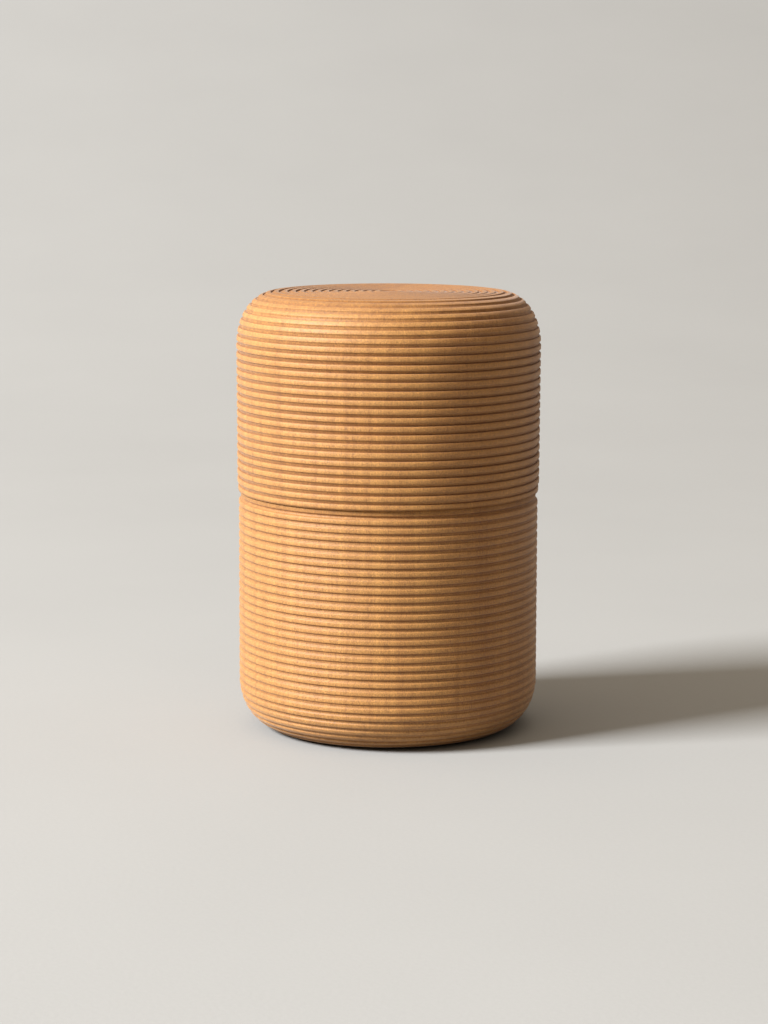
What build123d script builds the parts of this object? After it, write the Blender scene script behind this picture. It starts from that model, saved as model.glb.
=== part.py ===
from build123d import *
import os

# A turned wooden tea caddy: a ribbed cup with a plain collar, a ribbed cap that slides over the collar,
# and a knobbed inner lid that closes the collar's mouth. Millimetres, +Z up, origin at the centre of the
# base, on the surface that the caddy stands on.

# Outer form
TOTAL_HEIGHT = 112.6
SEAM_HEIGHT = 61.5
CAP_RADIUS = 39.0
CAP_RIM_RADIUS = 38.9
BODY_RADIUS = 38.65
BODY_LEDGE_RADIUS = 38.55
SHOULDER_WIDTH = 10.4
SHOULDER_HEIGHT = 13.7
FOOT_WIDTH = 10.7
FOOT_HEIGHT = 12.6

# Turned ribs, measured along the wall. Each rib rises from its lower notch over a sloping flank to a
# sharper corner, keeps level as a land, and falls over a steep ledge into the next notch.
RIB_PITCH = 2.143
CAP_FIRST_NOTCH = 1.42
BODY_FIRST_NOTCH = 2.1
CAP_RIBS = 39
BODY_RIBS = 30
CAP_NOTCH_DEPTH = 0.47
BODY_NOTCH_DEPTH = 0.34
FLANK_SHARE = 0.28
FLANK_DEPTH_SHARE = 0.6
CORNER_SHARE = 0.44
LEDGE_SHARE = 0.06
CAP_LIP_INSET = 0.3
BODY_LIP_INSET = 0.2

# Hollows and the collar
CAP_BORE_RADIUS = 35.4
CAP_CEILING = 107.1
CAP_CEILING_CORNER = 9.0
CAP_MOUTH_CHAMFER = 0.5
COLLAR_CLEARANCE = 0.25
COLLAR_TOP = 88.5
COLLAR_EDGE_ROUND = 0.6
CHAMBER_RADIUS = 32.55
CHAMBER_FLOOR = 6.0
CHAMBER_CORNER = 5.0
BASE_RECESS_RADIUS = 24.0
BASE_RECESS_DEPTH = 0.8
BASE_RECESS_SLOPE = 0.8

# Inner lid
FLANGE_RADIUS = 34.4
FLANGE_THICKNESS = 2.8
FLANGE_EDGE_ROUND = 0.8
PLUG_CLEARANCE = 0.25
PLUG_DEPTH = 4.0
PLUG_CHAMFER = 0.6

# Knob
KNOB_HEIGHT = 8.0
KNOB_FOOT_RADIUS = 4.4
KNOB_NECK_RADIUS = 3.1
KNOB_NECK_HEIGHT = 2.9
KNOB_HEAD_RADIUS = 6.2
KNOB_DOME_RISE = 0.8
KNOB_EDGE_ROUND = 0.8
TENON_RADIUS = 2.5
TENON_LENGTH = 3.0

COLLAR_RADIUS = CAP_BORE_RADIUS - COLLAR_CLEARANCE
PLUG_RADIUS = CHAMBER_RADIUS - PLUG_CLEARANCE
PLUG_BOTTOM = COLLAR_TOP - PLUG_DEPTH
FLANGE_TOP = COLLAR_TOP + FLANGE_THICKNESS


def at(radius, height):
    """A point of a half outline, which lies in the XZ plane."""
    return Vector(radius, 0, height)


def turned(*edges):
    """A solid turned about the upright axis from the edges of a closed half outline."""
    return revolve(make_face(Curve() + list(edges)), Axis.Z)


def quarter_round(start, end, corner):
    """A quarter circle between two points, bulging towards the corner that it takes off."""
    middle = (start + end) / 2
    reach = (corner - middle) * (2 ** 0.5 - 1)
    return ThreePointArc(start, middle + reach, end)


def notch_distances(first, count):
    """Distances from the seam, along the wall, of the notches between ribs."""
    return [first + RIB_PITCH * k for k in range(count)]


def inset_point(path, distance, inward):
    """A point at a distance along a wall path, which runs upwards, moved inward from it."""
    place = path.position_at(distance, position_mode=PositionMode.LENGTH)
    along = path.tangent_at(distance, position_mode=PositionMode.LENGTH)
    return place - Vector(along.Z, 0, -along.X) * inward


def rib_foot(path, notch, depth, inset):
    """The start of a rib: its lower notch, its flank and the corner below its land."""
    return [
        inset_point(path, notch, depth),
        inset_point(path, notch + FLANK_SHARE * RIB_PITCH, inset + FLANK_DEPTH_SHARE * depth),
        inset_point(path, notch + CORNER_SHARE * RIB_PITCH, inset),
    ]


def rib_head(path, notch, inset):
    """The end of a rib: the upper edge of its land, above which its ledge falls into the next notch."""
    return inset_point(path, notch - LEDGE_SHARE * RIB_PITCH, inset)


def ribs(path, notches, depth):
    """Outline points of the ribs between the first and the last notch."""
    points = []
    for low, high in zip(notches, notches[1:]):
        points += rib_foot(path, low, depth, 0)
        points.append(rib_head(path, high, 0))
    return points


def cap_path():
    """The cap's outer wall, from its rim over the shoulder to the centre of the top."""
    shoulder_start = TOTAL_HEIGHT - SHOULDER_HEIGHT
    flat_radius = CAP_RADIUS - SHOULDER_WIDTH
    wall = Line(at(CAP_RIM_RADIUS, SEAM_HEIGHT), at(CAP_RADIUS, shoulder_start))
    shoulder = Plane.XZ * EllipticalCenterArc((flat_radius, shoulder_start), SHOULDER_WIDTH, SHOULDER_HEIGHT,
                                              start_angle=0, arc_size=90)
    top = Line(at(flat_radius, TOTAL_HEIGHT), at(0, TOTAL_HEIGHT))
    return Wire([wall.edge(), shoulder.edge(), top.edge()])


def body_path():
    """The body's outer wall, from the edge of the base round the foot up to the ledge."""
    flat_radius = BODY_RADIUS - FOOT_WIDTH
    foot = Plane.XZ * EllipticalCenterArc((flat_radius, FOOT_HEIGHT), FOOT_WIDTH, FOOT_HEIGHT,
                                          start_angle=270, arc_size=90)
    wall = Line(at(BODY_RADIUS, FOOT_HEIGHT), at(BODY_LEDGE_RADIUS, SEAM_HEIGHT))
    return Wire([foot.edge(), wall.edge()])


def cap_skin():
    """The cap's outline from its lip, set back a little, over all its ribs to the centre of the top."""
    path = cap_path()
    notches = notch_distances(CAP_FIRST_NOTCH, CAP_RIBS)
    lip = [inset_point(path, 0, CAP_LIP_INSET), rib_head(path, notches[0], CAP_LIP_INSET)]
    last = inset_point(path, notches[-1], CAP_NOTCH_DEPTH)
    return lip + ribs(path, notches, CAP_NOTCH_DEPTH) + [last, path.position_at(1)]


def body_skin():
    """The body's outline from the edge of the base over all its ribs to its lip, set back a little."""
    path = body_path()
    from_seam = notch_distances(BODY_FIRST_NOTCH, BODY_RIBS)
    notches = [path.length - distance for distance in reversed(from_seam)]
    lip = rib_foot(path, notches[-1], BODY_NOTCH_DEPTH, BODY_LIP_INSET)
    lip.append(inset_point(path, path.length, BODY_LIP_INSET))
    return [path.position_at(0)] + ribs(path, notches, BODY_NOTCH_DEPTH) + lip


def make_body():
    """Cup and collar: ribbed outside, smooth bore with a rounded floor, shallow recess under the base."""
    skin = body_skin()
    edge_level = COLLAR_TOP - COLLAR_EDGE_ROUND
    outer_edge = at(COLLAR_RADIUS, edge_level)
    outer_top = at(COLLAR_RADIUS - COLLAR_EDGE_ROUND, COLLAR_TOP)
    inner_top = at(CHAMBER_RADIUS + COLLAR_EDGE_ROUND, COLLAR_TOP)
    inner_edge = at(CHAMBER_RADIUS, edge_level)
    corner_start = at(CHAMBER_RADIUS, CHAMBER_FLOOR + CHAMBER_CORNER)
    corner_end = at(CHAMBER_RADIUS - CHAMBER_CORNER, CHAMBER_FLOOR)
    recess_centre = at(0, BASE_RECESS_DEPTH)
    recess_edge = at(BASE_RECESS_RADIUS, BASE_RECESS_DEPTH)
    base_edge = at(BASE_RECESS_RADIUS + BASE_RECESS_SLOPE, 0)
    collar_foot = at(COLLAR_RADIUS, SEAM_HEIGHT)
    return turned(
        Polyline(recess_centre, recess_edge, base_edge, *skin, collar_foot, outer_edge),
        quarter_round(outer_edge, outer_top, at(COLLAR_RADIUS, COLLAR_TOP)),
        Line(outer_top, inner_top),
        quarter_round(inner_top, inner_edge, at(CHAMBER_RADIUS, COLLAR_TOP)),
        Line(inner_edge, corner_start),
        quarter_round(corner_start, corner_end, at(CHAMBER_RADIUS, CHAMBER_FLOOR)),
        Polyline(corner_end, at(0, CHAMBER_FLOOR), recess_centre),
    )


def make_outer_lid():
    """Cap: ribbed wall, shoulder and top, smooth bore with a rounded ceiling and an eased mouth."""
    skin = cap_skin()
    corner_start = at(CAP_BORE_RADIUS, CAP_CEILING - CAP_CEILING_CORNER)
    corner_end = at(CAP_BORE_RADIUS - CAP_CEILING_CORNER, CAP_CEILING)
    mouth_outer = at(CAP_BORE_RADIUS + CAP_MOUTH_CHAMFER, SEAM_HEIGHT)
    mouth_inner = at(CAP_BORE_RADIUS, SEAM_HEIGHT + CAP_MOUTH_CHAMFER)
    return turned(
        Polyline(corner_start, mouth_inner, mouth_outer, *skin, at(0, CAP_CEILING), corner_end),
        quarter_round(corner_end, corner_start, at(CAP_BORE_RADIUS, CAP_CEILING)),
    )


def make_inner_lid():
    """Disc with a flange that rests on the collar, a plug that fills its mouth and a blind knob hole."""
    plug_edge = at(PLUG_RADIUS - PLUG_CHAMFER, PLUG_BOTTOM)
    rounding_start = at(FLANGE_RADIUS, FLANGE_TOP - FLANGE_EDGE_ROUND)
    rounding_end = at(FLANGE_RADIUS - FLANGE_EDGE_ROUND, FLANGE_TOP)
    hole_floor = FLANGE_TOP - TENON_LENGTH
    return turned(
        Polyline(at(0, hole_floor), at(0, PLUG_BOTTOM), plug_edge, at(PLUG_RADIUS, PLUG_BOTTOM + PLUG_CHAMFER),
                 at(PLUG_RADIUS, COLLAR_TOP), at(FLANGE_RADIUS, COLLAR_TOP), rounding_start),
        quarter_round(rounding_start, rounding_end, at(FLANGE_RADIUS, FLANGE_TOP)),
        Polyline(rounding_end, at(TENON_RADIUS, FLANGE_TOP), at(TENON_RADIUS, hole_floor), at(0, hole_floor)),
    )


def make_inner_lid_knob():
    """Knob with a waisted neck, a domed head and a tenon that fills the inner lid's blind hole."""
    foot = at(KNOB_FOOT_RADIUS, FLANGE_TOP)
    neck = at(KNOB_NECK_RADIUS, FLANGE_TOP + KNOB_NECK_HEIGHT)
    crown = at(0, FLANGE_TOP + KNOB_HEIGHT)
    dome_level = FLANGE_TOP + KNOB_HEIGHT - KNOB_DOME_RISE
    head = at(KNOB_HEAD_RADIUS, dome_level - KNOB_EDGE_ROUND)
    dome_edge = at(KNOB_HEAD_RADIUS - KNOB_EDGE_ROUND, dome_level)
    tenon_end = FLANGE_TOP - TENON_LENGTH
    return turned(
        Polyline(crown, at(0, tenon_end), at(TENON_RADIUS, tenon_end), at(TENON_RADIUS, FLANGE_TOP), foot),
        ThreePointArc(foot, neck, head),
        quarter_round(head, dome_edge, at(KNOB_HEAD_RADIUS, dome_level)),
        TangentArc(crown, dome_edge, tangent=Vector(1, 0, 0)),
    )


def main():
    os.makedirs("parts", exist_ok=True)
    pieces = {
        "body": make_body(),
        "outer_lid": make_outer_lid(),
        "inner_lid": make_inner_lid(),
        "inner_lid_knob": make_inner_lid_knob(),
    }
    for name, piece in pieces.items():
        piece.label = name
        export_step(piece, f"parts/{name}.step")


main()
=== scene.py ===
import math
import random

import bpy
import numpy as np
from mathutils import Matrix, Vector


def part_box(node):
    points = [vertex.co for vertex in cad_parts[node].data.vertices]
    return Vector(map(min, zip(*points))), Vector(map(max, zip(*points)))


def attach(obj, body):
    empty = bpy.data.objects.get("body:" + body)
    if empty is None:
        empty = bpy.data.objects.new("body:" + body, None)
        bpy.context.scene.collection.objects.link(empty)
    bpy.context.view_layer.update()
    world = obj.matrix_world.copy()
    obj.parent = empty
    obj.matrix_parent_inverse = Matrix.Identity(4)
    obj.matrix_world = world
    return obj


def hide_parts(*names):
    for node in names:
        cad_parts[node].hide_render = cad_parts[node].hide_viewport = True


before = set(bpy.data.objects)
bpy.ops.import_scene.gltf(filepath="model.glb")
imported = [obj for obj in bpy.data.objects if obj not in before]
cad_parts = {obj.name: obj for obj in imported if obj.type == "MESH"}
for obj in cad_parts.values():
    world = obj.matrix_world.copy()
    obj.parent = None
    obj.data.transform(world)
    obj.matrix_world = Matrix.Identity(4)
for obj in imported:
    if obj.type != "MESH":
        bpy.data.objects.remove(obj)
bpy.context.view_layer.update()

MM = 0.001
PER_MM = 1 / MM

# Sizes read from the frame, in metres
cap_low, cap_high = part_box("outer_lid")
cup_low, cup_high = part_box("body")
lid_low, lid_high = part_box("inner_lid")
knob_low, knob_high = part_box("inner_lid_knob")
TOP = cap_high.z
SEAM = cap_low.z
CAP_R = cap_high.x
CUP_R = cup_high.x
COLLAR_TOP = cup_high.z

# Outer form, as turned: the wall eases out towards the shoulder, and the corners are nearly elliptical
CAP_RIM_R = CAP_R - 0.10 * MM
CUP_RIM_R = CUP_R - 0.10 * MM
SHOULDER_W, SHOULDER_H = 10.4 * MM, 13.7 * MM
FOOT_W, FOOT_H = 10.7 * MM, 12.6 * MM
CORNER_POWER = 2 / 2.1
WALL_POINTS, CORNER_POINTS = 60, 200

# Ribs: distances along the wall from the seam
PITCH = 2.143 * MM
CAP_FIRST, CUP_FIRST = 1.50 * MM, 2.20 * MM
CAP_RIBS, CUP_RIBS = 39, 30
CAP_DEPTH, CUP_DEPTH = 0.58 * MM, 0.40 * MM
CAP_LIP_INSET, CUP_LIP_INSET = 0.20 * MM, 0.52 * MM
LIP_START = 0.1 * MM
# Share of the depth: cap at the shoulder's start, outside the top's rim and on the axis, cup at seam and foot
CAP_FADES, CUP_FADES = (1, 0.75, 0.3), (1, 0.8)
RIM_WIDTH = 2 * MM
# How much the ribs differ: place of a notch, share of the depth, lean as a share of the pitch
NOTCH_SCATTER, DEPTH_SPREAD, LEAN_SPREAD = 0.03 * MM, 0.12, 0.03
SEED = 7
# One rib, from the foot of its ledge down to the next: (share of the pitch, share of the depth, painted shade
# in the groove)
CAP_SECTION = (
    (0, 1, 1), (0.03, 0.50, 0.7), (0.07, 0.12, 0.3), (0.13, 0, 0), (0.56, 0, 0), (0.60, 0.05, 0),
    (0.64, 0.30, 0.2), (0.695, 0.54, 0.4), (0.82, 0.74, 0.45), (0.93, 0.89, 0.65))
CUP_SECTION = (
    (0, 0.96, 0.4), (0.04, 0.50, 0.3), (0.10, 0.12, 0.1), (0.17, 0, 0), (0.53, 0, 0), (0.575, 0.08, 0),
    (0.615, 0.50, 0.4), (0.67, 0.95, 0.9), (0.71, 1, 1), (0.80, 1, 0.6), (0.90, 0.98, 0.4))

# Bore, mouth and lip of the cap
CAP_BORE_R = 35.4 * MM
CAP_CEILING = TOP - 5.5 * MM
CEILING_CORNER = 9.0 * MM
MOUTH_ROUND, MOUTH_MIDDLE = 0.5 * MM, 0.15 * MM
LIP_ROUND = 0.28 * MM
LIP_EDGE_IN, LIP_EDGE_UP = 0.1 * MM, 0.05 * MM
TOP_DIP = 0.02 * MM

# Chamber, collar and foot of the cup
COLLAR_R, COLLAR_ROUND = 35.15 * MM, 0.6 * MM
CHAMBER_R = 32.55 * MM
CHAMBER_FLOOR, CHAMBER_CORNER = 6.0 * MM, 5.0 * MM
SHELF_ROUND, SHELF_START = 0.2 * MM, 0.3 * MM
RECESS_R, RECESS_DEPTH = 24.0 * MM, 0.8 * MM

# Inner lid: flange, plug and a shallow dish, whose slope is (distance in from the edge, share of the dish)
FLANGE_R, FLANGE_ROUND = lid_high.x, 0.8 * MM
PLUG_R, PLUG_CHAMFER = 32.3 * MM, 0.6 * MM
UNDERSIDE_START = 0.2 * MM
LID_DISH = 0.35 * MM
DISH_FOOT, DISH_BRIM = 5 * MM, 3.2 * MM
DISH_SLOPE = ((4.4 * MM, 0.9), (3.6 * MM, 0.1))

# Knob
KNOB_R, KNOB_NECK_R, KNOB_FOOT_R = knob_high.x, 3.1 * MM, 4.4 * MM
KNOB_DOME, KNOB_ROUND = 0.8 * MM, 0.8 * MM
KNOB_RIM_FROM, KNOB_RIM_TO = 80, -35
NECK_SHARE, NECK_START, FOOT_START = 0.38, 0.08, 0.15
TENON_R, TENON_STEP = 2.5 * MM, 0.02 * MM

# Mesh: points round the axis, rows on each plain stretch, and where the fan round the axis ends
SEGMENTS, KNOB_SEGMENTS = 230, 144
FLOOR_ROWS, BORE_ROWS, LID_ROWS, BRIM_ROWS, EDGE_ROWS = 8, 12, 14, 4, 3
CEILING_ARC, FLOOR_ARC, COLLAR_ARC, FLANGE_ARC = 10, 8, 6, 8
KNOB_HEAD_ROWS, KNOB_RIM_ROWS, KNOB_NECK_ROWS, KNOB_FOOT_ROWS = 11, 9, 11, 7
FAN_R = 2 * MM
AFTER_CORNER = 1 * MM
ON_AXIS, TINY = 1e-7, 1e-9
PROBE = 0.05 * MM
FACING_ROWS = 5
CREASE = 1

rng = random.Random(SEED)


# ---------------------------------------------------------------- turned meshes

def step_sizes(points):
    """Lengths of the steps along a row of points."""
    return np.hypot(*np.diff(points, axis=0).T)


def lathe(name, rows, segments=SEGMENTS):
    """A closed turned mesh from rows of (radius, height, painted shade), the first and last of them on the
    axis.

    Three values go with every point: how much painted groove shade it holds, the distance along the turned
    outline, and how far the outline has turned to face along the grain. Rows with a painted shade of 1 are
    sharp creases.
    """
    angles = np.arange(segments) * 2 * math.pi / segments
    cos, sin = np.cos(angles), np.sin(angles)
    verts, faces, starts, creases = [], [], [], []
    painted_shades, run, end = [], [], []
    outline = np.array([row[:2] for row in rows])
    distance = np.concatenate([[0], np.cumsum(step_sizes(outline))])
    for i, (radius, height, painted_shade) in enumerate(rows):
        starts.append(len(verts))
        near = max(i - FACING_ROWS, 0)
        far = min(i + FACING_ROWS, len(rows) - 1)
        rise = outline[far] - outline[near]
        facing = abs(rise[0]) / max(np.hypot(*rise), TINY)
        count = 1 if radius < ON_AXIS else segments
        for k in range(count):
            verts.append((radius * cos[k], radius * sin[k], height))
        painted_shades += [painted_shade] * count
        run += [distance[i]] * count
        end += [facing] * count
    for i in range(len(rows) - 1):
        a, b = starts[i], starts[i + 1]
        for k in range(segments):
            n = (k + 1) % segments
            if rows[i][0] < ON_AXIS:
                faces.append((a, b + n, b + k))
            elif rows[i + 1][0] < ON_AXIS:
                faces.append((a + k, a + n, b))
            else:
                faces.append((a + k, a + n, b + n, b + k))
        if rows[i][2] == CREASE:
            creases.append(a)
    mesh = bpy.data.meshes.new(name)
    mesh.from_pydata(verts, [], faces)
    for label, values in (("painted_shade", painted_shades), ("run", run), ("end", end)):
        mesh.attributes.new(label, "FLOAT", "POINT").data.foreach_set("value", values)
    mesh.polygons.foreach_set("use_smooth", [True] * len(faces))
    crease_edges(mesh, creases, segments)
    piece = bpy.data.objects.new(name, mesh)
    bpy.context.scene.collection.objects.link(piece)
    return piece


def crease_edges(mesh, starts, segments):
    """Mark the rings of edges that begin at these points as sharp."""
    owner = np.full(len(mesh.vertices), -1)
    for start in starts:
        owner[start:start + segments] = start
    pairs = np.empty(len(mesh.edges) * 2, dtype=np.int32)
    mesh.edges.foreach_get("vertices", pairs)
    ends = owner[pairs.reshape(-1, 2)]
    sharp = (ends[:, 0] >= 0) & (ends[:, 0] == ends[:, 1])
    mesh.attributes.new("sharp_edge", "BOOLEAN", "EDGE").data.foreach_set("value", sharp)
    mesh.update()


def wall_path(parts):
    """One sampled outline from several: its running distances, radii and heights."""
    points = np.concatenate(parts)
    keep = np.concatenate([[True], step_sizes(points) > TINY])
    points = points[keep]
    return np.concatenate([[0], np.cumsum(step_sizes(points))]), points[:, 0], points[:, 1]


def corner(centre, width, height, stop):
    """Points along a nearly elliptical corner, from level with its centre."""
    t = np.radians(np.linspace(0, stop, CORNER_POINTS))
    x = np.sign(np.cos(t)) * np.abs(np.cos(t)) ** CORNER_POWER
    z = np.sign(np.sin(t)) * np.abs(np.sin(t)) ** CORNER_POWER
    return np.stack([centre[0] + width * x, centre[1] + height * z], 1)


def ribbed(path, first, count, section, depth, lip_inset, fading):
    """Rows along an outline that starts at the seam: a lip, then ribs, fading as (distances, shares) say."""
    length, radii, heights = path
    upward = heights[-1] > heights[0]
    side = 1 if upward else -1

    def row(distance, inward, painted_shade):
        distance = min(max(distance, 0), length[-1])
        ahead = min(distance + PROBE, length[-1])
        back = max(ahead - 2 * PROBE, 0)
        dr = np.interp(ahead, length, radii) - np.interp(back, length, radii)
        dz = np.interp(ahead, length, heights) - np.interp(back, length, heights)
        size = math.hypot(dr, dz)
        radius = np.interp(distance, length, radii) - side * dz / size * inward
        height = np.interp(distance, length, heights) + side * dr / size * inward
        return max(radius, 0), height, painted_shade

    notches = [first + PITCH * k + rng.gauss(0, NOTCH_SCATTER) for k in range(count)]
    edges = [first - PITCH] + notches
    rows = []
    for k in range(len(edges) - 1):
        low, high = edges[k], edges[k + 1]
        rib_depth = depth * rng.uniform(1 - DEPTH_SPREAD, 1 + DEPTH_SPREAD)
        lean = rng.uniform(-LEAN_SPREAD, LEAN_SPREAD)
        shape = [(share + lean * math.sin(math.pi * share), level, painted_shade) for share, level, painted_shade in section]
        if upward:
            shape = [shape[0]] + [(1 - share, level, painted_shade) for share, level, painted_shade in reversed(shape[1:])]
        inset = lip_inset if k == 0 else 0
        for share, level, painted_shade in shape:
            distance = low + (high - low) * share
            if k > 0 or distance >= LIP_START:
                rows.append(row(distance, inset + rib_depth * level * np.interp(distance, *fading), painted_shade))
    level, painted_shade = section[0][1:]
    rows.append(row(notches[-1], depth * level * np.interp(notches[-1], *fading), painted_shade))
    return rows


def arc_rows(centre, radius, start, stop, count):
    """Rows of a circular arc in the half outline."""
    return [(centre[0] + radius * math.cos(a), centre[1] + radius * math.sin(a), 0)
            for a in np.radians(np.linspace(start, stop, count))]


def line_rows(start, end, count):
    """Rows of a straight stretch, without its last point."""
    return [(start[0] + (end[0] - start[0]) * t, start[1] + (end[1] - start[1]) * t, 0)
            for t in np.arange(count) / count]


# ---------------------------------------------------------------- pieces

def make_cap():
    shoulder_z = TOP - SHOULDER_H
    flat_r = CAP_R - SHOULDER_W
    wall = np.linspace((CAP_RIM_R, SEAM), (CAP_R, shoulder_z), WALL_POINTS)
    shoulder = corner((flat_r, shoulder_z), SHOULDER_W, SHOULDER_H, 90)
    flat = np.linspace((flat_r, TOP), (0, TOP), WALL_POINTS)
    path = wall_path([wall, shoulder, flat])
    whole = path[0][-1]
    fading = ((shoulder_z - SEAM, whole - flat_r - RIM_WIDTH, whole), CAP_FADES)
    skin = ribbed(path, CAP_FIRST, CAP_RIBS, CAP_SECTION, CAP_DEPTH, CAP_LIP_INSET, fading)
    lip_r = CAP_RIM_R - CAP_LIP_INSET
    arc_r = CAP_BORE_R - CEILING_CORNER
    arc_z = CAP_CEILING - CEILING_CORNER
    rows = [(0, CAP_CEILING, 0)]
    rows += line_rows((FAN_R, CAP_CEILING), (arc_r, CAP_CEILING), FLOOR_ROWS)
    rows += arc_rows((arc_r, arc_z), CEILING_CORNER, 90, 0, CEILING_ARC)
    rows += line_rows((CAP_BORE_R, arc_z - AFTER_CORNER), (CAP_BORE_R, SEAM + MOUTH_ROUND), BORE_ROWS)
    rows += [(CAP_BORE_R, SEAM + MOUTH_ROUND, 0), (CAP_BORE_R + MOUTH_MIDDLE, SEAM + MOUTH_MIDDLE, 0)]
    rows += [(CAP_BORE_R + MOUTH_ROUND, SEAM, 0), (lip_r - LIP_ROUND, SEAM, 0)]
    rows += [(lip_r - LIP_EDGE_IN, SEAM + LIP_EDGE_UP, 0)]
    rows += skin
    rows += [(0, TOP - TOP_DIP, 0)]
    return lathe("outer_lid_wood", rows)


def make_cup():
    flat_r = CUP_R - FOOT_W
    wall = np.linspace((CUP_RIM_R, SEAM), (CUP_R, FOOT_H), WALL_POINTS)
    path = wall_path([wall, corner((flat_r, FOOT_H), FOOT_W, FOOT_H, -90)])
    fading = ((0, path[0][-1]), CUP_FADES)
    skin = ribbed(path, CUP_FIRST, CUP_RIBS, CUP_SECTION, CUP_DEPTH, CUP_LIP_INSET, fading)
    lip_r = CUP_RIM_R - CUP_LIP_INSET
    arc_r = CHAMBER_R - CHAMBER_CORNER
    arc_z = CHAMBER_FLOOR + CHAMBER_CORNER
    round_z = COLLAR_TOP - COLLAR_ROUND
    rows = [(0, CHAMBER_FLOOR, 0)]
    rows += line_rows((FAN_R, CHAMBER_FLOOR), (arc_r, CHAMBER_FLOOR), FLOOR_ROWS)
    rows += arc_rows((arc_r, arc_z), CHAMBER_CORNER, -90, 0, FLOOR_ARC)
    rows += line_rows((CHAMBER_R, arc_z + AFTER_CORNER), (CHAMBER_R, round_z), BORE_ROWS)
    rows += arc_rows((CHAMBER_R + COLLAR_ROUND, round_z), COLLAR_ROUND, 180, 90, COLLAR_ARC)
    rows += arc_rows((COLLAR_R - COLLAR_ROUND, round_z), COLLAR_ROUND, 90, 0, COLLAR_ARC)
    rows += line_rows((COLLAR_R, COLLAR_TOP - AFTER_CORNER), (COLLAR_R, SEAM + SHELF_START), BORE_ROWS)
    rows += [(COLLAR_R, SEAM + SHELF_ROUND, 0), (COLLAR_R + SHELF_ROUND, SEAM, 0)]
    rows += [(lip_r - LIP_ROUND, SEAM, 0)]
    rows += skin
    rows += [(flat_r, 0, 0), (RECESS_R + RECESS_DEPTH, 0, 0), (RECESS_R, RECESS_DEPTH, 0)]
    rows += line_rows((RECESS_R - AFTER_CORNER, RECESS_DEPTH), (FAN_R, RECESS_DEPTH), FLOOR_ROWS)
    rows += [(0, RECESS_DEPTH, 0)]
    return lathe("body_wood", rows[::-1])


def make_inner_lid():
    top, low, rim = lid_high.z, lid_low.z, FLANGE_R - FLANGE_ROUND
    plug_r = PLUG_R - PLUG_CHAMFER
    rows = [(0, top - LID_DISH, 0)]
    rows += line_rows((FAN_R, top - LID_DISH), (FLANGE_R - DISH_FOOT, top - LID_DISH), LID_ROWS)
    rows += [(FLANGE_R - inset, top - share * LID_DISH, 0) for inset, share in DISH_SLOPE]
    rows += line_rows((FLANGE_R - DISH_BRIM, top), (rim, top), BRIM_ROWS)
    rows += arc_rows((rim, top - FLANGE_ROUND), FLANGE_ROUND, 90, 0, FLANGE_ARC)
    rows += arc_rows((rim, COLLAR_TOP + FLANGE_ROUND), FLANGE_ROUND, 0, -90, FLANGE_ARC)
    rows += line_rows((rim - UNDERSIDE_START, COLLAR_TOP), (PLUG_R, COLLAR_TOP), EDGE_ROWS)
    rows += line_rows((PLUG_R, COLLAR_TOP), (PLUG_R, low + PLUG_CHAMFER), FLOOR_ROWS)
    rows += line_rows((PLUG_R, low + PLUG_CHAMFER), (plug_r, low), EDGE_ROWS)
    rows += line_rows((plug_r, low), (FAN_R, low), LID_ROWS)
    rows += [(0, low, 0)]
    return lathe("inner_lid_wood", rows[::-1])


def make_knob():
    foot, head = lid_high.z - LID_DISH, knob_high.z
    neck = foot + NECK_SHARE * (head - foot)
    edge_r, edge_z = KNOB_R - KNOB_ROUND, head - KNOB_DOME - KNOB_ROUND
    rows = [(t * edge_r, head - KNOB_DOME * t * t, 0) for t in np.linspace(0, 1, KNOB_HEAD_ROWS)]
    rows += arc_rows((edge_r, edge_z), KNOB_ROUND, KNOB_RIM_FROM, KNOB_RIM_TO, KNOB_RIM_ROWS)
    under_r, under_z = rows[-1][:2]
    for t in np.linspace(NECK_START, 1, KNOB_NECK_ROWS):
        swell = 1 - math.sin(t * math.pi / 2)
        rows.append((KNOB_NECK_R + (under_r - KNOB_NECK_R) * swell, under_z + (neck - under_z) * t, 0))
    for t in np.linspace(FOOT_START, 1, KNOB_FOOT_ROWS):
        rows.append((KNOB_NECK_R + (KNOB_FOOT_R - KNOB_NECK_R) * t * t, neck + (foot - neck) * t, 0))
    rows += [(TENON_R, foot - TENON_STEP, 0), (TENON_R, knob_low.z, 0), (0, knob_low.z, 0)]
    return lathe("inner_lid_knob_wood", rows[::-1], segments=KNOB_SEGMENTS)


# ---------------------------------------------------------------- node helpers

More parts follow.
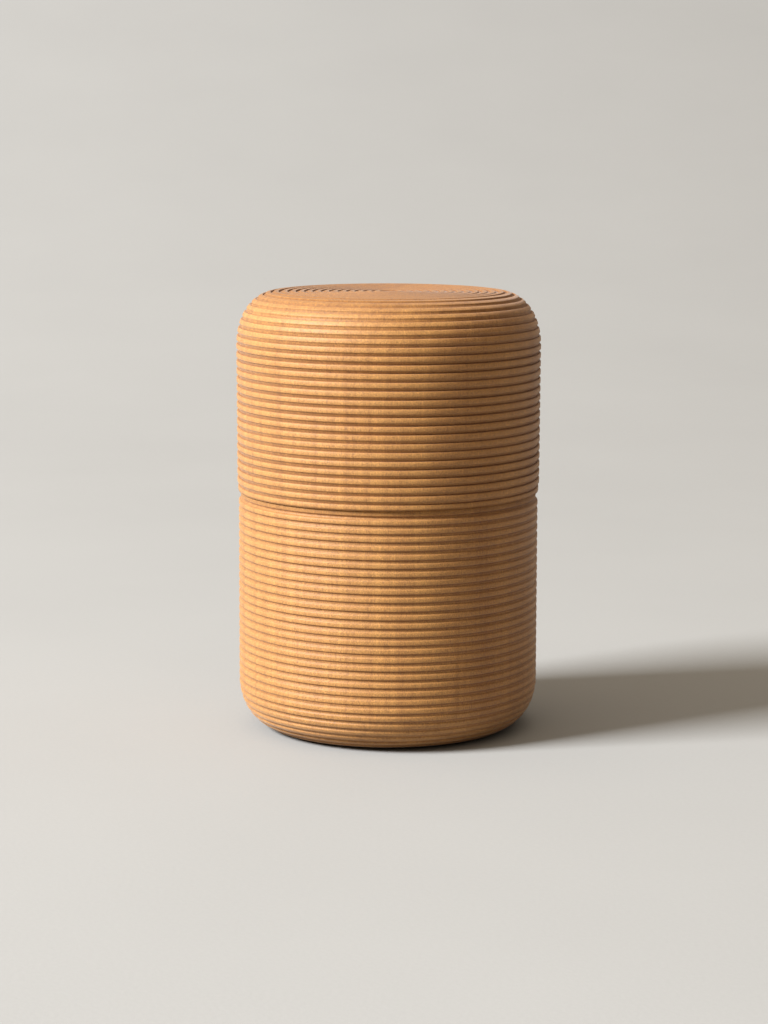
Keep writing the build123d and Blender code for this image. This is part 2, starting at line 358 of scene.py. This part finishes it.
class Graph:
    """Short calls for the nodes of one material or world, and its shader."""

    def __init__(self, owner, shader):
        owner.use_nodes = True
        self.tree = owner.node_tree
        self.shader = self.tree.nodes[shader]

    def put(self, socket, value):
        if isinstance(value, bpy.types.NodeSocket):
            self.tree.links.new(value, socket)
        else:
            socket.default_value = value

    def shade(self, **values):
        """Set or link sockets of the shader, with _ for a space in their names."""
        for key, value in values.items():
            self.put(self.shader.inputs[key.replace("_", " ")], value)

    def add(self, kind, output=0, inputs=(), **settings):
        node = self.tree.nodes.new(kind)
        for key, value in settings.items():
            setattr(node, key, value)
        for key, value in dict(inputs).items():
            self.put(node.inputs[key], value)
        return node.outputs[output]

    def math(self, operation, a, b=0.0, c=0.0, clamp=False):
        return self.add("ShaderNodeMath", operation=operation, use_clamp=clamp, inputs={0: a, 1: b, 2: c})

    def vector(self, operation, a, b=(0, 0, 0), output=0):
        return self.add("ShaderNodeVectorMath", output=output, operation=operation, inputs={0: a, 1: b})

    def noise(self, vector, scale, detail, roughness=0.5):
        return self.add("ShaderNodeTexNoise", inputs={
            "Vector": self.vector("MULTIPLY", vector, scale), "Scale": 1.0, "Detail": detail,
            "Roughness": roughness})

    def line_noise(self, value, rate, detail, roughness=0.5):
        return self.add("ShaderNodeTexNoise", noise_dimensions="1D", inputs={
            "W": self.math("MULTIPLY", value, rate), "Scale": 1.0, "Detail": detail, "Roughness": roughness})

    def span(self, value, low, high, to_low=0.0, to_high=1.0):
        return self.add("ShaderNodeMapRange", inputs={
            "Value": value, "From Min": low, "From Max": high, "To Min": to_low, "To Max": to_high})

    def blend(self, factor, a, b, mode="MIX"):
        node = self.tree.nodes.new("ShaderNodeMix")
        node.data_type = "RGBA"
        node.blend_type = mode
        factor_in, a_in, b_in, result_out = 0, 6, 7, 2
        self.put(node.inputs[factor_in], factor)
        self.put(node.inputs[a_in], a)
        self.put(node.inputs[b_in], b)
        return node.outputs[result_out]

    def darkened(self, colour, shade):
        """A colour times a grey value."""
        grey = self.add("ShaderNodeCombineXYZ", inputs={0: shade, 1: shade, 2: shade})
        return self.blend(1.0, colour, grey, "MULTIPLY")

    def tinted(self, colour, amount, tint):
        """A colour times a tint, as far as the amount says."""
        return self.blend(amount, colour, self.blend(1.0, colour, tint, "MULTIPLY"))

    def attribute(self, name):
        return self.add("ShaderNodeAttribute", output=2, attribute_name=name)

    def object_place(self):
        return self.add("ShaderNodeTexCoord", output=3)

    def bump(self, height, strength, distance):
        relief = self.add("ShaderNodeBump", inputs={
            "Strength": strength, "Distance": distance, "Height": height})
        self.shade(Normal=relief)


def rgb(red, green, blue):
    return (red, green, blue, 1)


# ---------------------------------------------------------------- materials

LIGHT_WOOD = rgb(0.455, 0.221, 0.056)
DARK_WOOD = rgb(0.275, 0.114, 0.026)
PORE_WOOD = rgb(0.20, 0.075, 0.025)
END_TINT = rgb(0.66, 0.59, 0.45)
# Painted shade: the colour that rib grooves and notches are darkened towards, in place of the shadow falling
# there
PAINTED_SHADE_TINT = rgb(0.64, 0.53, 0.42)
PAPER = rgb(0.31, 0.3125, 0.31)

# Growth rings round the heart of the log, in millimetres and per millimetre
PITH = (-45, 42, 0)
WAVER_SCALE, WAVER_MM = (0.05, 0.05, 0.007), 9.0
RING_RATE, ZONE_RATE = 0.55, 0.13

# Patterns in the wood, per millimetre across and along the grain, and per millimetre of the turned outline
STREAK_SCALE = (0.42, 0.42, 0.008)
FIBRE_SCALE = (2.2, 2.2, 0.07)
PORE_SCALE = (4.0, 4.0, 0.9)
GRIT_SCALE = (3.8, 3.8, 2.6)
TOOLING_RATE = 5.0

# Shares of the patterns in the tone, between light wood and dark
RING_SHARE, ZONE_SHARE, STREAK_SHARE, FIBRE_SHARE = 0.7, 0.6, 0.8, 0.9
TOOLING_SHARE, END_TOOLING_SHARE = 0.25, 0.9
TONE_MIDDLE = 0.42
PORE_SPAN, PORE_COLOUR = (0.36, 0.30), 0.45
GRIT_SPAN, GRIT_DARK, GRIT_LIGHT = (0.25, 0.75), 0.42, 1.58
END_SPAN = (0.55, 1.0)

# Gloss and relief
ROUGH_SPAN, ROUGH_LOW, ROUGH_HIGH, ROUGH_END = (0.3, 0.7), 0.52, 0.68, 0.3
WOOD_IOR, WOOD_SPECULAR, WOOD_SHEEN, WOOD_SHEEN_ROUGHNESS = 1.45, 0.65, 0.15, 0.5
FIBRE_RELIEF, GRIT_RELIEF, TOOLING_RELIEF, PORE_RELIEF = 0.6, 0.5, 0.35, -0.4
RELIEF_STRENGTH, RELIEF_DISTANCE = 0.7, 0.09 * MM

# Background paper, per metre
MOTTLE_SCALE, MOTTLE_SPAN = (9, 9, 9), (0.3, 0.7)
TOOTH_SCALE, TOOTH_SPAN = (900, 900, 900), (0.2, 0.8)
PAPER_DARK, PAPER_LIGHT = 0.985, 1.015
PAPER_ROUGHNESS, PAPER_SPECULAR = 0.9, 0.2
TOOTH_STRENGTH, TOOTH_DISTANCE = 0.25, 0.1 * MM


def wood(name, shift, ribbed_skin):
    """Hardwood with upright grain, turned and oiled; all sizes in the graph are in millimetres."""
    material = bpy.data.materials.new(name)
    g = Graph(material, "Principled BSDF")
    mm = g.vector("MULTIPLY", g.object_place(), (PER_MM, PER_MM, PER_MM))
    mm = g.vector("ADD", mm, shift)

    # Growth rings: distance from the heart of the log, a little wavy
    across = g.vector("SUBTRACT", g.vector("MULTIPLY", mm, (1, 1, 0)), PITH)
    radius = g.vector("LENGTH", across, output=1)
    radius = g.math("MULTIPLY_ADD", g.noise(mm, WAVER_SCALE, detail=2), WAVER_MM, radius)
    rings = g.line_noise(radius, RING_RATE, detail=3, roughness=0.6)
    zones = g.line_noise(radius, ZONE_RATE, detail=1)

    # Fibres, streaks, pores, grit and the fine scores left by the tool
    streaks = g.noise(mm, STREAK_SCALE, detail=2, roughness=0.6)
    fibres = g.noise(mm, FIBRE_SCALE, detail=3, roughness=0.65)
    grit = g.noise(mm, GRIT_SCALE, detail=3, roughness=0.8)
    pores = g.span(g.noise(mm, PORE_SCALE, detail=1), *PORE_SPAN)
    tooling = g.line_noise(g.attribute("run"), TOOLING_RATE * PER_MM, detail=2, roughness=0.7)
    end = g.span(g.attribute("end"), *END_SPAN)

    tone = 0.0
    scored = g.math("MULTIPLY_ADD", end, END_TOOLING_SHARE, TOOLING_SHARE)
    patterns = ((rings, RING_SHARE), (zones, ZONE_SHARE), (streaks, STREAK_SHARE), (fibres, FIBRE_SHARE),
                (tooling, scored))
    for pattern, share in patterns:
        tone = g.math("MULTIPLY_ADD", g.math("SUBTRACT", pattern, 0.5), share, tone)
    colour = g.blend(g.math("ADD", tone, TONE_MIDDLE, clamp=True), LIGHT_WOOD, DARK_WOOD)
    colour = g.darkened(colour, g.span(grit, *GRIT_SPAN, GRIT_DARK, GRIT_LIGHT))
    colour = g.blend(g.math("MULTIPLY", pores, PORE_COLOUR), colour, PORE_WOOD)
    colour = g.tinted(colour, end, END_TINT)
    # Painted shade: the rib grooves and notches are darkened in the colour, standing in for the shadow and
    # occlusion that fall in them
    if ribbed_skin:
        colour = g.tinted(colour, g.attribute("painted_shade"), PAINTED_SHADE_TINT)
    rough = g.math("MULTIPLY_ADD", end, ROUGH_END, g.span(grit, *ROUGH_SPAN, ROUGH_LOW, ROUGH_HIGH))
    g.shade(Base_Color=colour, Roughness=rough, IOR=WOOD_IOR, Specular_IOR_Level=WOOD_SPECULAR,
            Sheen_Weight=WOOD_SHEEN, Sheen_Roughness=WOOD_SHEEN_ROUGHNESS)

    height = g.math("MULTIPLY_ADD", fibres, FIBRE_RELIEF, g.math("MULTIPLY", grit, GRIT_RELIEF))
    height = g.math("MULTIPLY_ADD", tooling, TOOLING_RELIEF, height)
    height = g.math("MULTIPLY_ADD", pores, PORE_RELIEF, height)
    g.bump(height, RELIEF_STRENGTH, RELIEF_DISTANCE)
    return material


def paper(name):
    """Matt pale background paper with a soft mottle."""
    material = bpy.data.materials.new(name)
    g = Graph(material, "Principled BSDF")
    metres = g.object_place()
    tooth = g.noise(metres, TOOTH_SCALE, detail=2)
    mottled = g.span(g.noise(metres, MOTTLE_SCALE, detail=3), *MOTTLE_SPAN, PAPER_DARK, PAPER_LIGHT)
    shade = g.math("MULTIPLY", mottled, g.span(tooth, *TOOTH_SPAN, PAPER_DARK, PAPER_LIGHT))
    g.shade(Base_Color=g.darkened(PAPER, shade), Roughness=PAPER_ROUGHNESS, Specular_IOR_Level=PAPER_SPECULAR)
    g.bump(tooth, TOOTH_STRENGTH, TOOTH_DISTANCE)
    return material


def place(piece, body, node, slot, **finish):
    """Put a turned piece on its body, in place of its CAD node, in its own piece of wood."""
    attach(piece, body)
    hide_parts(node)
    piece.data.materials.append(wood(slot, **finish))


place(make_cap(), "outer_lid", "outer_lid", "wood_outer_lid", shift=(0.8, 0.3, 0), ribbed_skin=True)
place(make_cup(), "body", "body", "wood_body", shift=(0, 0, 0), ribbed_skin=True)
place(make_inner_lid(), "inner_lid", "inner_lid", "wood_inner_lid", shift=(31, 17, 5), ribbed_skin=False)
place(make_knob(), "inner_lid", "inner_lid_knob", "wood_knob", shift=(12, 40, 9), ribbed_skin=False)


# ---------------------------------------------------------------- floor, light, camera

# A sheet that bends up behind the caddy, in metres
STAGE_HALF, STAGE_FRONT = 4, -6
BEND_START, BEND_RADIUS, BEND_POINTS = 0.35, 2.0, 33

KEY_AZIMUTH, KEY_ELEVATION, KEY_DISTANCE, KEY_SIZE, KEY_POWER = 67, 35, 3.4, 1.09, 315
SKY_COLOUR, SKY_ZENITH, SKY_HORIZON = (1.0, 0.84, 0.65), 1.16, 0.11
SKY_LEAN = 0.5

# The camera fitted to the photo: focal length in pixels, tilts in degrees, place in millimetres
FRAME_PX, FOCAL_PX, HALF_PX, SENSOR = 1024, 2602, 0.5, 36
CAMERA_PITCH, CAMERA_ROLL = 8.79, 0.149
CAMERA_X, CAMERA_Y, CAMERA_Z = -0.965, -665.6, 158.2
CAMERA_NEAR = 0.05


def make_stage():
    mesh = bpy.data.meshes.new("stage")
    bend = [(BEND_START + BEND_RADIUS * math.sin(a), BEND_RADIUS - BEND_RADIUS * math.cos(a))
            for a in np.linspace(0, math.pi / 2, BEND_POINTS)]
    verts, faces = [], []
    for y, z in [(STAGE_FRONT, 0)] + bend:
        verts += [(-STAGE_HALF, y, z), (STAGE_HALF, y, z)]
    for i in range(len(bend)):
        faces.append((2 * i, 2 * i + 1, 2 * i + 3, 2 * i + 2))
    mesh.from_pydata(verts, [], faces)
    mesh.polygons.foreach_set("use_smooth", [True] * len(faces))
    stage = bpy.data.objects.new("stage", mesh)
    bpy.context.scene.collection.objects.link(stage)
    mesh.materials.append(paper("paper"))


def make_key():
    """One large soft light, up to the left and a little in front."""
    key = bpy.data.lights.new("key", "AREA")
    key.shape = "SQUARE"
    key.size = KEY_SIZE
    key.energy = KEY_POWER
    lamp = bpy.data.objects.new("key", key)
    bpy.context.scene.collection.objects.link(lamp)
    azimuth, elevation = math.radians(KEY_AZIMUTH), math.radians(KEY_ELEVATION)
    level = math.cos(elevation)
    towards = Vector((-math.sin(azimuth) * level, -math.cos(azimuth) * level, math.sin(elevation)))
    lamp.location = Vector((0, 0, TOP / 2)) + towards * KEY_DISTANCE
    lamp.rotation_euler = (-towards).to_track_quat("-Z", "Y").to_euler()


def make_sky():
    """A soft fill, brightest overhead and leaning towards the key's side."""
    world = bpy.data.worlds.new("fill")
    g = Graph(world, "Background")
    direction = g.add("ShaderNodeTexCoord")
    east = g.add("ShaderNodeSeparateXYZ", output=0, inputs={0: direction})
    up = g.add("ShaderNodeSeparateXYZ", output=2, inputs={0: direction})
    rise = g.math("MULTIPLY", up, up, clamp=True)
    strength = g.span(rise, 0.0, 1.0, SKY_HORIZON * SKY_ZENITH, SKY_ZENITH)
    lean = g.math("MULTIPLY_ADD", east, -SKY_LEAN, 1.0)
    g.shade(Strength=g.math("MULTIPLY", strength, lean), Color=rgb(*SKY_COLOUR))
    bpy.context.scene.world = world


def make_camera():
    data = bpy.data.cameras.new("camera")
    data.sensor_width = SENSOR
    data.lens = FOCAL_PX * SENSOR / FRAME_PX
    data.shift_x = -HALF_PX / FRAME_PX
    data.shift_y = HALF_PX / FRAME_PX
    data.clip_start = CAMERA_NEAR
    camera = bpy.data.objects.new("camera", data)
    bpy.context.scene.collection.objects.link(camera)
    pitch, roll = math.radians(CAMERA_PITCH), math.radians(CAMERA_ROLL)
    turn = Matrix.Rotation(math.pi / 2 - pitch, 4, "X") @ Matrix.Rotation(roll, 4, "Z")
    spot = Vector((CAMERA_X * MM, CAMERA_Y * MM, CAMERA_Z * MM))
    camera.matrix_world = Matrix.Translation(spot) @ turn
    bpy.context.scene.camera = camera


make_stage()
make_key()
make_sky()
make_camera()
bpy.context.scene.view_settings.view_transform = "Standard"
